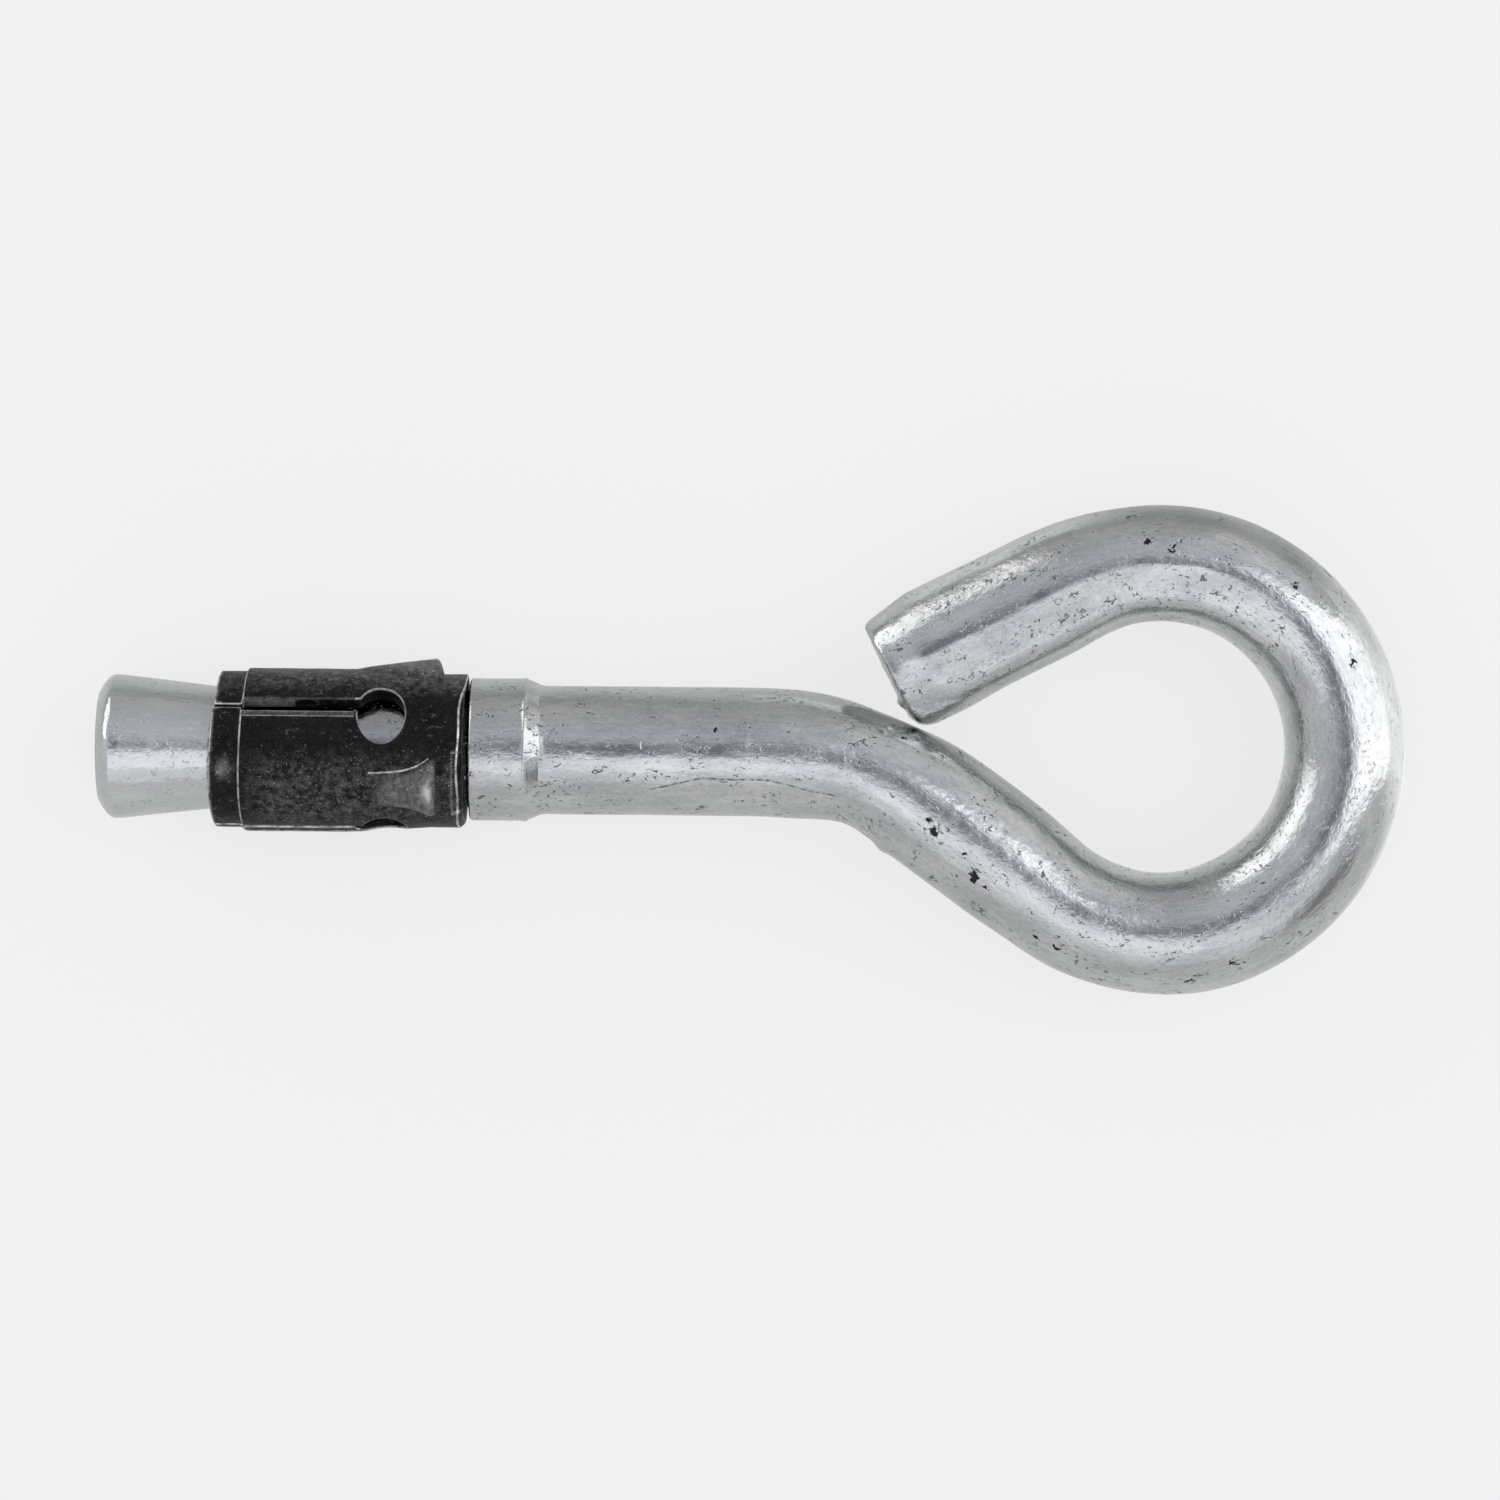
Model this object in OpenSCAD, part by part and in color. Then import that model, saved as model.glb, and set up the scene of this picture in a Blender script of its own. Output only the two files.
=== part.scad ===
// Nail anchor with a closed eye, for a 6 mm drilled hole.
// X runs along the anchor from its tip to its eye, and Z stands square to the plane of the eye.
// The origin is the middle of the tip's land. Sizes are in millimetres and angles in degrees.

/* [Tip] */
// Widest diameter of the tip, a little under the drilled hole
tip_d = 5.94; // [5.8:0.02:6.0]
// Length of the straight land round the tip
tip_land = 0.4; // [0.3:0.05:0.9]
// Radius that rounds the front edge of the tip
tip_round = 0.48; // [0.2:0.02:0.8]
// Half angle of the cone behind the land
cone_angle = 6.4; // [5.8:0.1:7.5]

/* [Rod] */
// Diameter of the straight rod
shank_d = 5.3; // [5.1:0.05:5.6]
// Diameter of the rod where bending has drawn it thinner
bend_d = 5.05; // [4.8:0.05:5.1]
// Length over which the rod goes from one diameter to the other
draw_len = 1.2; // [0.6:0.1:2]
// Diameter of the collar that stops the clip
collar_d = 5.9; // [5.7:0.05:6.0]
// Length of the collar
collar_len = 2.3; // [1.2:0.1:4]
// Bevel on the collar's edge at the clip
collar_bevel = 0.12; // [0.05:0.01:0.3]
// Length of the slope from the collar down to the shank
collar_slope = 0.9; // [0.4:0.1:1.5]
// Straight shank from the collar's slope to the bend
shank_len = 8.8; // [5:0.1:20]

/* [Eye] */
// Radius of the bend that leads down to the eye, at the middle of the rod
bend_r = 12.6; // [11.5:0.1:13.5]
// Angle of that bend
bend_angle = 37.3; // [36.5:0.1:38.5]
// Radius of the eye, at the middle of the rod
eye_r = 7.62; // [7.3:0.02:8.4]
// Angle of the round part of the eye
eye_angle = 220.6; // [218:0.2:222]
// Radius where the eye eases into its straight end
ease_r = 10; // [8.5:0.1:11]
// Angle of that easing
ease_angle = 23.2; // [22:0.2:25]
// Height of the middle of the eye above the axis of the shank
eye_rise = 0.2; // [0:0.02:0.3]
// Gap between the sheared end of the eye and the shank
eye_gap = 0.12; // [0.08:0.01:0.5]
// Length that the shear has rolled over at the end of the eye
shear_len = 1.6; // [0.8:0.1:2.4]
// Depth of that roll at the end face
shear_roll = 0.5; // [0.2:0.05:0.7]

/* [Clip] */
// Thickness of the clip's sheet
sheet_t = 0.6; // [0.5:0.02:0.66]
// Length of the clip along the anchor
clip_len = 10.2; // [9.6:0.1:14]
// Distance from the tip's land to the clip's lip
clip_x = 4.2; // [3.9:0.1:6]
// Outside diameter of the closed band at the collar
band_d = 6.35; // [6.25:0.02:6.5]
// Height of the petals above the band
petal_flare = 0.18; // [0.1:0.01:0.3]
// Length of the closed band
band_len = 1.4; // [1.3:0.05:2]
// Length of the thinner lip on the petals
lip_len = 1.14; // [0.6:0.02:2]
// Step from the petals down to the lip
lip_step = 0.14; // [0.06:0.02:0.22]
// Clearance between the neck and the inside of the band
neck_fit = 0.18; // [0.08:0.02:0.25]
// Play between the band and the collar
collar_play = 0.2; // [0.1:0.02:0.4]

/* [Slots and bumps] */
// Turn of the first slot from Z toward Y
slot_turn = 31; // [0:1:60]
// Width of a slot next to its hole
slot_w = 0.56; // [0.5:0.02:0.9]
// Width of a slot from the lip on
slot_lip_w = 0.34; // [0.1:0.02:0.44]
// Length of that narrower part
slot_lip_len = 3.2; // [2.2:0.1:4.4]
// Diameter of the hole that ends a slot
hole_d = 2.2; // [1.4:0.02:2.4]
// Distance from the clip's lip to the middle of the holes
hole_x = 6.9; // [6.3:0.1:7]
// Gap of the open seam where the rolled sheet meets
seam_gap = 0.4; // [0.2:0.02:0.8]
// Length of a pressed bump
bump_len = 3.5; // [2.6:0.1:3.8]
// Height of a bump above the petals at its steep end
bump_rise = 0.4; // [0.2:0.02:0.5]
// Half angle of the cone that shapes a bump
bump_angle = 26; // [22:1:30]
// Distance from the steep end of a bump to the edge of the band
bump_inset = 0.95; // [0.8:0.05:1.2]
// Depth of the notch in the band's edge
notch_depth = 0.25; // [0.1:0.05:0.5]
// Width of that notch round the clip
notch_w = 2.8; // [1:0.1:3.4]

/* [Hidden] */
$fn = 72;
tip_r = tip_d / 2;
shank_r = shank_d / 2;
tip_front = -tip_land / 2 - tip_round;
neck_r = band_d / 2 - sheet_t - neck_fit;
neck_x = tip_land / 2 + (tip_r - neck_r) / tan(cone_angle);
clip_end = clip_x + clip_len;
collar_x = clip_end + collar_play;
slope_x = collar_x + collar_len;
shank_x = slope_x + collar_slope;
bend_x = shank_x + shank_len;

// Path of the bent rod, from the start of the bend to the sheared end
leg_len = (eye_r * cos(bend_angle) - bend_r * (1 - cos(bend_angle)) - eye_rise) / sin(bend_angle);
ease_start = eye_angle - bend_angle;
end_turn = ease_start + ease_angle;
eye_x = bend_x + (bend_r + eye_r) * sin(bend_angle) + leg_len * cos(bend_angle);
ease_pos = [eye_x + eye_r * sin(ease_start), eye_rise - eye_r * cos(ease_start)];
ease_move = ease_r * [sin(end_turn) - sin(ease_start), cos(ease_start) - cos(end_turn)];
// Inner corner of the sheared end, seen from the middle of the bend's circle
corner = ease_pos + ease_move + shank_r * [-sin(end_turn), cos(end_turn)] - [bend_x, -bend_r];
end_way = [cos(end_turn), sin(end_turn)];
clear_r = bend_r + bend_d / 2 + eye_gap;
end_len = -corner * end_way - sqrt(pow(corner * end_way, 2) - corner * corner + pow(clear_r, 2));
shear_r = (shear_len * shear_len + shear_roll * shear_roll) / (2 * shear_roll);
shear_bite = 0.03;

// The rod's pieces lap into each other by these, so that they join as one solid
lap = 0.06;
lap_step = 0.015;
lap_r = bend_d / 2 - lap_step;
lap_turn = 0.6;

// Radii and stations of the clip
petals = 3;
band_r = band_d / 2;
clip_r = band_r + petal_flare;
bore_r = clip_r - sheet_t;
band_x = clip_end - band_len;
taper_x = band_x - bump_len + bump_inset;
petal_pitch = 360 / petals;
bump_x = clip_end - bump_inset;
bump_tilt = bump_angle - atan(bump_rise / bump_len);
bump_sink = 0.03;

rod_colour = [0.72, 0.73, 0.75];
clip_colour = [0.16, 0.16, 0.17];

// Turns a profile of [radius, distance] points about the X axis
module revolved(profile) {
  rotate([0, 90, 0])
    rotate_extrude()
      polygon(profile);
}

// Rod bent to the left from the origin, starting along X
module turn_left(r, angle, d) {
  translate([0, r, 0])
    rotate([0, 0, -90])
      rotate_extrude(angle = angle)
        translate([r, 0])
          circle(d = d);
}

// Moves its children to the end of a left turn
module after_left(r, angle) {
  translate([r * sin(angle), r * (1 - cos(angle)), 0])
    rotate([0, 0, angle])
      children();
}

// Straight rod that is drawn thinner toward the bends at both ends
module leg() {
  revolved([
    [0, -lap],
    [lap_r, -lap],
    [shank_r, draw_len],
    [shank_r, leg_len - draw_len],
    [lap_r, leg_len + lap],
    [0, leg_len + lap]
  ]);
}

// Straight end of the eye, rolled over on its outer side by the shear
module sheared_end() {
  difference() {
    revolved([
      [0, -lap],
      [lap_r - lap_step, -lap],
      [shank_r, draw_len],
      [shank_r, end_len],
      [0, end_len]
    ]);
    translate([end_len - shear_len, shear_r - shank_r - shear_bite, -shank_d])
      difference() {
        translate([0, -shear_r - 1, 0])
          cube([shear_len + 1, shear_r + 1, 2 * shank_d]);
        translate([0, 0, -shank_d])
          cylinder(r = shear_r, h = 4 * shank_d);
      }
  }
}

// Tip, cone, neck, collar and straight shank
module shaft() {
  revolved(concat(
    [[0, tip_front]],
    [for (a = [0:15:90]) [
      tip_r - tip_round * (1 - sin(a)),
      tip_front + tip_round * (1 - cos(a))
    ]],
    [
      [tip_r, tip_land / 2],
      [neck_r, neck_x],
      [neck_r, collar_x],
      [collar_d / 2 - collar_bevel, collar_x],
      [collar_d / 2, collar_x + collar_bevel],
      [collar_d / 2, slope_x],
      [shank_r, shank_x],
      [shank_r, bend_x - draw_len],
      [lap_r, bend_x + lap],
      [0, bend_x + lap]
    ]
  ));
}

module eye_bolt() {
  color(rod_colour) {
    shaft();
    translate([bend_x, 0, 0])
      rotate([180, 0, 0]) {
        turn_left(bend_r, bend_angle, bend_d);
        after_left(bend_r, bend_angle)
          rotate([180, 0, 0]) {
            leg();
            translate([leg_len, 0, 0]) {
              turn_left(eye_r, eye_angle, bend_d);
              after_left(eye_r, eye_angle)
                ease();
            }
          }
      }
  }
}

// Eases the eye into its straight end
module ease() {
  after_left(ease_r, -lap_turn)
    turn_left(ease_r, ease_angle + lap_turn, 2 * lap_r);
  after_left(ease_r, ease_angle)
    sheared_end();
}

// Rolled sheet before it is slotted
module shell() {
  revolved([
    [bore_r, clip_x],
    [clip_r - lip_step, clip_x],
    [clip_r - lip_step, clip_x + lip_len],
    [clip_r, clip_x + lip_len],
    [clip_r, taper_x],
    [band_r, band_x],
    [band_r, clip_end],
    [band_r - sheet_t, clip_end],
    [band_r - sheet_t, band_x],
    [bore_r, taper_x]
  ]);
}

// Cone that shapes a bump, with its point on the petal and its ridge rising to the steep end
module bump_cone(drop, end_x) {
  h = 2 * bump_len;
  difference() {
    translate([bump_x - bump_len, 0, clip_r - drop])
      rotate([0, 90 + bump_tilt, 0])
        cylinder(h = h, r1 = 0, r2 = h * tan(bump_angle));
    translate([end_x, -2 * clip_r, -2 * clip_r])
      cube([4 * clip_r, 4 * clip_r, 4 * clip_r]);
  }
}

// Outside of a bump, down to the middle of the sheet
module bump() {
  difference() {
    bump_cone(bump_sink, bump_x);
    rotate([0, 90, 0])
      cylinder(r = (clip_r + band_r - sheet_t) / 2, h = 2 * clip_end);
  }
}

// Slot from the lip to its round hole
module slot() {
  translate([clip_x - 1, -slot_lip_w / 2, 0])
    cube([hole_x + 1, slot_lip_w, 2 * clip_r]);
  translate([clip_x + slot_lip_len, -slot_w / 2, 0])
    cube([hole_x - slot_lip_len, slot_w, 2 * clip_r]);
  translate([clip_x + hole_x, 0, 0])
    cylinder(d = hole_d, h = 2 * clip_r);
}

// Turns its children from Z toward Y
module facing(turn) {
  rotate([-turn, 0, 0])
    children();
}

module expansion_clip() {
  color(clip_colour)
    difference() {
      union() {
        shell();
        for (i = [0:petals - 1])
          facing(slot_turn + (i + 0.5) * petal_pitch)
            bump();
      }
      for (i = [0:petals - 1])
        facing(slot_turn + (i + 0.5) * petal_pitch)
          bump_cone(sheet_t + bump_sink, bump_x - sheet_t);
      for (i = [0:petals - 1])
        facing(slot_turn + i * petal_pitch)
          slot();
      facing(slot_turn + petal_pitch)
        translate([clip_x + hole_x, -seam_gap / 2, 0])
          cube([clip_len, seam_gap, 2 * clip_r]);
      facing(slot_turn - petal_pitch / 2)
        translate([clip_end - notch_depth, -notch_w / 2, 0])
          cube([notch_depth + 1, notch_w, 2 * clip_r]);
    }
}

eye_bolt();
expansion_clip();
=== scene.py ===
"""Nail anchor with an eye: a zinc-plated eye bolt and the black expansion clip on its neck.

Shapes are written in millimetres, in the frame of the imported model, and turned into metres last.
"""
import math

import bpy
import numpy as np
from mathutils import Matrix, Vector, kdtree, noise
from mathutils.geometry import delaunay_2d_cdt


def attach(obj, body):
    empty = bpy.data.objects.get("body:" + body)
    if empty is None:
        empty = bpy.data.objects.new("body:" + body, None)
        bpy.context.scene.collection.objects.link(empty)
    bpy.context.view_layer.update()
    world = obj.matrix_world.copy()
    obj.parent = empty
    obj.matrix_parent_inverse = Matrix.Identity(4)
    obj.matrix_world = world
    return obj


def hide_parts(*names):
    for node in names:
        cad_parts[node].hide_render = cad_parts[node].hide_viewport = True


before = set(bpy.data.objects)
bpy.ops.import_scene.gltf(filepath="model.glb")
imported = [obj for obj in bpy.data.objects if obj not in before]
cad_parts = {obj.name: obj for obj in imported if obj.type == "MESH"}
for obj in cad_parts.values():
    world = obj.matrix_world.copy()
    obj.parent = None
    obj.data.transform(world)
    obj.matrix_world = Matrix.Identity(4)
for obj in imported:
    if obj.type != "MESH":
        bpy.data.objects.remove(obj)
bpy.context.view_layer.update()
scene = bpy.context.scene
scene.view_settings.view_transform = "Standard"
MM = 0.001
# Stands for the distance to a line that a point has no part in
FAR = 9.0


def smooth(x, low, high):
    """0 below low, 1 above high, and a smooth step between."""
    t = np.clip((x - low) / (high - low), 0.0, 1.0)
    return t * t * (3.0 - 2.0 * t)


def ripple(points, seed):
    """Smooth noise between about -1 and 1 at each row of points."""
    octaves = 3
    shift = Vector((seed * 7.31, seed * 3.17, seed * 5.53))
    return np.array([noise.fractal(Vector(p) + shift, 1.0, 2.0, octaves) for p in points])


# Camera straight above the anchor, turned a little with the photograph
CAMERA_HEIGHT = 248.0
FRAME_WIDTH = 62.11
SENSOR_WIDTH = 36.0
CAMERA_XY = (26.171, 0.0765)
CAMERA_ROLL = math.radians(0.53)

lens = bpy.data.cameras.new("camera")
lens.sensor_width = SENSOR_WIDTH
lens.lens = SENSOR_WIDTH * CAMERA_HEIGHT / FRAME_WIDTH
lens.clip_start = 0.01
lens.clip_end = 10.0
camera = bpy.data.objects.new("camera", lens)
camera.location = (CAMERA_XY[0] * MM, CAMERA_XY[1] * MM, CAMERA_HEIGHT * MM)
camera.rotation_euler = (0.0, 0.0, CAMERA_ROLL)
scene.collection.objects.link(camera)
scene.camera = camera


# Node helpers
def add_node(tree, kind, inputs=None, **settings):
    """Adds a shader node, sets its settings, and links or sets its inputs."""
    made = tree.nodes.new(kind)
    for key, value in settings.items():
        setattr(made, key, value)
    for key, value in (inputs or {}).items():
        if isinstance(value, bpy.types.NodeSocket):
            tree.links.new(value, made.inputs[key])
        else:
            made.inputs[key].default_value = value
    return made


def new_material(name):
    """A material with an empty node tree, and that tree."""
    material = bpy.data.materials.new(name)
    material.use_nodes = True
    material.node_tree.nodes.clear()
    return material, material.node_tree


def attribute(tree, name):
    return add_node(tree, "ShaderNodeAttribute", attribute_name=name)


def stretched(tree, vector, scale, shift=(0.0, 0.0, 0.0)):
    """The vector scaled along each axis and shifted."""
    made = add_node(tree, "ShaderNodeMapping", {"Vector": vector, "Scale": scale, "Location": shift})
    return made.outputs[0]


def parts_of(tree, vector):
    """The X, Y and Z of a vector."""
    return add_node(tree, "ShaderNodeSeparateXYZ", {0: vector}).outputs


def noise_map(tree, vector, scale, detail=2.0, rough=0.5, distortion=0.0):
    made = add_node(tree, "ShaderNodeTexNoise", {"Vector": vector, "Scale": scale, "Detail": detail,
                                                 "Roughness": rough, "Distortion": distortion})
    return made.outputs["Fac"]


def ranged(tree, value, low, high, to_low=0.0, to_high=1.0):
    """The value mapped from low..high to to_low..to_high, held at the ends."""
    made = add_node(tree, "ShaderNodeMapRange", {"Value": value, "From Min": low, "From Max": high,
                                                 "To Min": to_low, "To Max": to_high})
    return made.outputs["Result"]


def maths(tree, operation, a, b):
    return add_node(tree, "ShaderNodeMath", {0: a, 1: b}, operation=operation).outputs[0]


def times(tree, a, b):
    return maths(tree, "MULTIPLY", a, b)


def plus(tree, a, b):
    return maths(tree, "ADD", a, b)


def less(tree, a, b):
    return maths(tree, "SUBTRACT", a, b)


def most(tree, *values):
    """The largest of the values."""
    largest = values[0]
    for value in values[1:]:
        largest = maths(tree, "MAXIMUM", largest, value)
    return largest


def size_of(tree, value):
    """The value without its sign."""
    return add_node(tree, "ShaderNodeMath", {0: value}, operation="ABSOLUTE").outputs[0]


def apart(tree, place, other):
    """The distance between two places."""
    made = add_node(tree, "ShaderNodeVectorMath", {0: place, 1: other}, operation="DISTANCE")
    return made.outputs["Value"]


def mixed(tree, factor, a, b):
    """Colour a where factor is 0 and colour b where it is 1."""
    made = add_node(tree, "ShaderNodeMix", {"Factor": factor, 6: a, 7: b}, data_type="RGBA")
    return made.outputs[2]


def bumped(tree, height, distance_mm, strength=1.0, below=None):
    inputs = {"Height": height, "Distance": distance_mm * MM, "Strength": strength}
    if below is not None:
        inputs["Normal"] = below
    return add_node(tree, "ShaderNodeBump", inputs).outputs[0]


def pit_at(tree, place, where, size):
    """1 inside a ragged pit of that size round a place on the straight rod."""
    return ranged(tree, apart(tree, place, where), size * 0.8, size, 1.0, 0.0)


def scratches(tree, place):
    """1 on thin broken curls, scattered in patches."""
    curl = noise_map(tree, stretched(tree, place, (0.7, 1.0, 1.0), (6.0, 1.0, 8.0)), 1.7, 3.0, 0.55, 0.6)
    line = ranged(tree, size_of(tree, less(tree, curl, 0.5)), 0.010, 0.030, 1.0, 0.0)
    where = noise_map(tree, stretched(tree, place, (0.6, 1.0, 1.0), (2.0, 3.0, 4.0)), 1.2, 2.0)
    breaks = noise_map(tree, place, 4.5, 2.0)
    shown = times(tree, ranged(tree, where, 0.50, 0.56), ranged(tree, breaks, 0.51, 0.56))
    return times(tree, line, shown)


def on_line(tree, distance, half):
    """1 in the middle of a line, falling to 0 at half its width."""
    return ranged(tree, size_of(tree, distance), half * 0.35, half, 1.0, 0.0)


# Zinc: bright and drawn along the rod, clouded with darker grey, with dark specks, scratches and pits, and
# darker on the neck under the clip, partly duller steel and partly painted shade
ZINC_DARK = (0.420, 0.427, 0.440, 1.0)
ZINC_LIGHT = (0.585, 0.594, 0.586, 1.0)
ZINC_TIP = (0.62, 0.627, 0.64, 1.0)
# Neck under the clip: partly duller steel, partly painted shade from the clip
NECK_DULL_AND_SHADED = (0.26, 0.26, 0.262, 1.0)
ZINC_DIRT = (0.030, 0.030, 0.034, 1.0)
# How dark each kind of dirt is
FLECK = 0.5
NICK = 0.7
SCRATCH = 0.75
# How much cleaner the tip and the outer side of the eye are, and the stretches in which they start and end
TIP_CLEAN = 0.65
EYE_CLEAN = 0.6
TIP_ENDS = (3.6, 4.6)
CLEAN_STARTS = (50.0, 53.0)
CLEAN_ENDS = (60.0, 63.0)
# Deep pits in the plating, at places on the rod before it was bent, and their size
PITS = [((34.9, -0.8, 2.5), 0.22), ((37.3, -1.25, 2.3), 0.26), ((34.4, -0.55, 2.55), 0.15),
        ((36.4, -0.75, 2.5), 0.14), ((37.9, -1.3, 2.25), 0.14), ((40.7, -1.75, 1.95), 0.17),
        ((41.4, -1.7, 2.0), 0.17), ((47.6, -1.6, 2.05), 0.18), ((46.2, -2.0, 1.65), 0.15),
        ((60.4, -0.95, 2.4), 0.17), ((64.0, -0.95, 2.4), 0.15), ((69.8, -0.9, 2.45), 0.17),
        ((68.8, -0.55, 2.55), 0.15), ((31.9, 1.85, 1.85), 0.13), ((24.8, 0.95, 2.4), 0.13)]
# How far a pit's edge strays from round
PIT_STRAY = 0.35
# A long score on the shank's front: distance along the bolt, place across it and half its width
SCORE_S = (21.9, 23.3, 24.2, 25.1, 27.0, 27.9, 28.9, 30.2)
SCORE_Y = (-1.64, -1.31, -1.10, -1.14, -1.15, -1.31, -1.46, -1.45)
SCORE_HALF = 0.06


def zinc_material():
    material, tree = new_material("zinc_plating")
    along = attribute(tree, "straight").outputs["Vector"]
    station = parts_of(tree, along)["X"]
    streaks = noise_map(tree, stretched(tree, along, (0.45, 7.0, 7.0)), 1.0, 4.0, 0.6)
    clouds = noise_map(tree, stretched(tree, along, (0.5, 1.0, 1.0)), 0.75, 4.0, 0.6)
    grain = noise_map(tree, stretched(tree, along, (0.6, 1.0, 1.0)), 7.0, 4.0, 0.7)
    peel = noise_map(tree, stretched(tree, along, (0.6, 1.0, 1.0), (5.0, 7.0, 3.0)), 2.8, 2.0, 0.5)
    nicks = noise_map(tree, stretched(tree, along, (0.45, 1.0, 1.0), (1.0, 4.0, 6.0)), 9.0, 2.0, 0.6, 0.8)
    flecks = noise_map(tree, stretched(tree, along, (0.5, 1.0, 1.0), (3.0, 9.0, 1.0)), 5.0, 5.0, 0.7)
    patches = noise_map(tree, stretched(tree, along, (0.6, 1.0, 1.0), (8.0, 2.0, 5.0)), 0.9, 3.0, 0.6)

    # Specks and scratches, fewer on the tip and on the outer side of the eye
    fleck = times(tree, ranged(tree, flecks, 0.68, 0.73), FLECK)
    nick = times(tree, ranged(tree, nicks, 0.675, 0.725), NICK)
    scratch = times(tree, scratches(tree, along), SCRATCH)
    tip = ranged(tree, station, *TIP_ENDS, 1.0, 0.0)
    clean = times(tree, ranged(tree, station, *CLEAN_STARTS), ranged(tree, station, *CLEAN_ENDS, 1.0, 0.0))
    cleaner = plus(tree, times(tree, tip, TIP_CLEAN), times(tree, clean, EYE_CLEAN))
    dirt = times(tree, most(tree, fleck, nick, scratch), less(tree, 1.0, cleaner))

    # A few deep pits under the first bend and round the eye, and the score
    ragged = add_node(tree, "ShaderNodeTexNoise", {"Vector": along, "Scale": 4.5, "Detail": 4.0})
    drift = add_node(tree, "ShaderNodeVectorMath", {0: ragged.outputs["Color"], 1: [2.0 * PIT_STRAY] * 3,
                                                    2: [-PIT_STRAY] * 3}, operation="MULTIPLY_ADD")
    torn = add_node(tree, "ShaderNodeVectorMath", {0: along, 1: drift.outputs[0]}, operation="ADD").outputs[0]
    deep = most(tree, *[pit_at(tree, torn, where, size) for where, size in PITS])
    score = on_line(tree, attribute(tree, "scored").outputs["Fac"], SCORE_HALF)
    score = times(tree, score, ranged(tree, grain, 0.42, 0.56, 0.0, 0.75))
    dirt = most(tree, dirt, deep, score)

    tone = plus(tree, times(tree, clouds, 0.45), times(tree, streaks, 0.20))
    tone = plus(tree, tone, times(tree, grain, 0.35))
    plain = mixed(tree, ranged(tree, tone, 0.40, 0.60), ZINC_DARK, ZINC_LIGHT)
    plain = mixed(tree, times(tree, tip, 0.5), plain, ZINC_TIP)
    # Darker on the neck under the clip: partly duller steel, partly painted shade
    neck = times(tree, ranged(tree, station, NECK_X - 0.6, NECK_X, 0.0, 0.6),
                 ranged(tree, station, COLLAR_X - 0.2, COLLAR_X - 0.1, 1.0, 0.0))
    plain = mixed(tree, neck, plain, NECK_DULL_AND_SHADED)
    colour = mixed(tree, dirt, plain, ZINC_DIRT)
    dull = plus(tree, ranged(tree, tone, 0.35, 0.65, 0.15, 0.08), times(tree, dirt, 0.4))

    waves = bumped(tree, peel, 0.036, 0.6)
    drawn = bumped(tree, streaks, 0.005, 0.6, waves)
    coarse = ranged(tree, patches, 0.40, 0.64, 0.25, 0.95)
    coarse = less(tree, coarse, times(tree, times(tree, tip, 0.6), coarse))
    grained = bumped(tree, grain, 0.018, coarse, drawn)
    dug = bumped(tree, less(tree, 1.0, dirt), 0.04, 0.7, grained)
    shader = add_node(tree, "ShaderNodeBsdfPrincipled", {"Base Color": colour, "Metallic": 1.0,
                                                         "Roughness": dull, "Normal": dug})
    add_node(tree, "ShaderNodeOutputMaterial", {"Surface": shader.outputs[0]})
    return material


# Black sheet: phosphated steel with brown clouds, grey scuffs on what stands proud, bare worn edges, and a
# painted grey sheen on the upper faces toward the back
SHEET_DARK = (0.0020, 0.0020, 0.0024, 1.0)
SHEET_LIGHT = (0.0075, 0.0075, 0.008, 1.0)
SHEET_BROWN = (0.034, 0.031, 0.022, 1.0)
SHEET_GREY = (0.16, 0.16, 0.155, 1.0)
BARE_STEEL = (0.66, 0.66, 0.65, 1.0)
SHEET_SPECULAR = 0.09
# Half the width of each worn line, and how bare it is
STEP_LINE = (0.045, 0.62)
RIM_LINE = (0.055, 0.95)
BEVEL_LINE = (0.035, 0.5)
RIB_LINE = (0.045, 0.8)


def worn_line(tree, distance, half, bare):
    return times(tree, on_line(tree, distance, half), bare)


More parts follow.
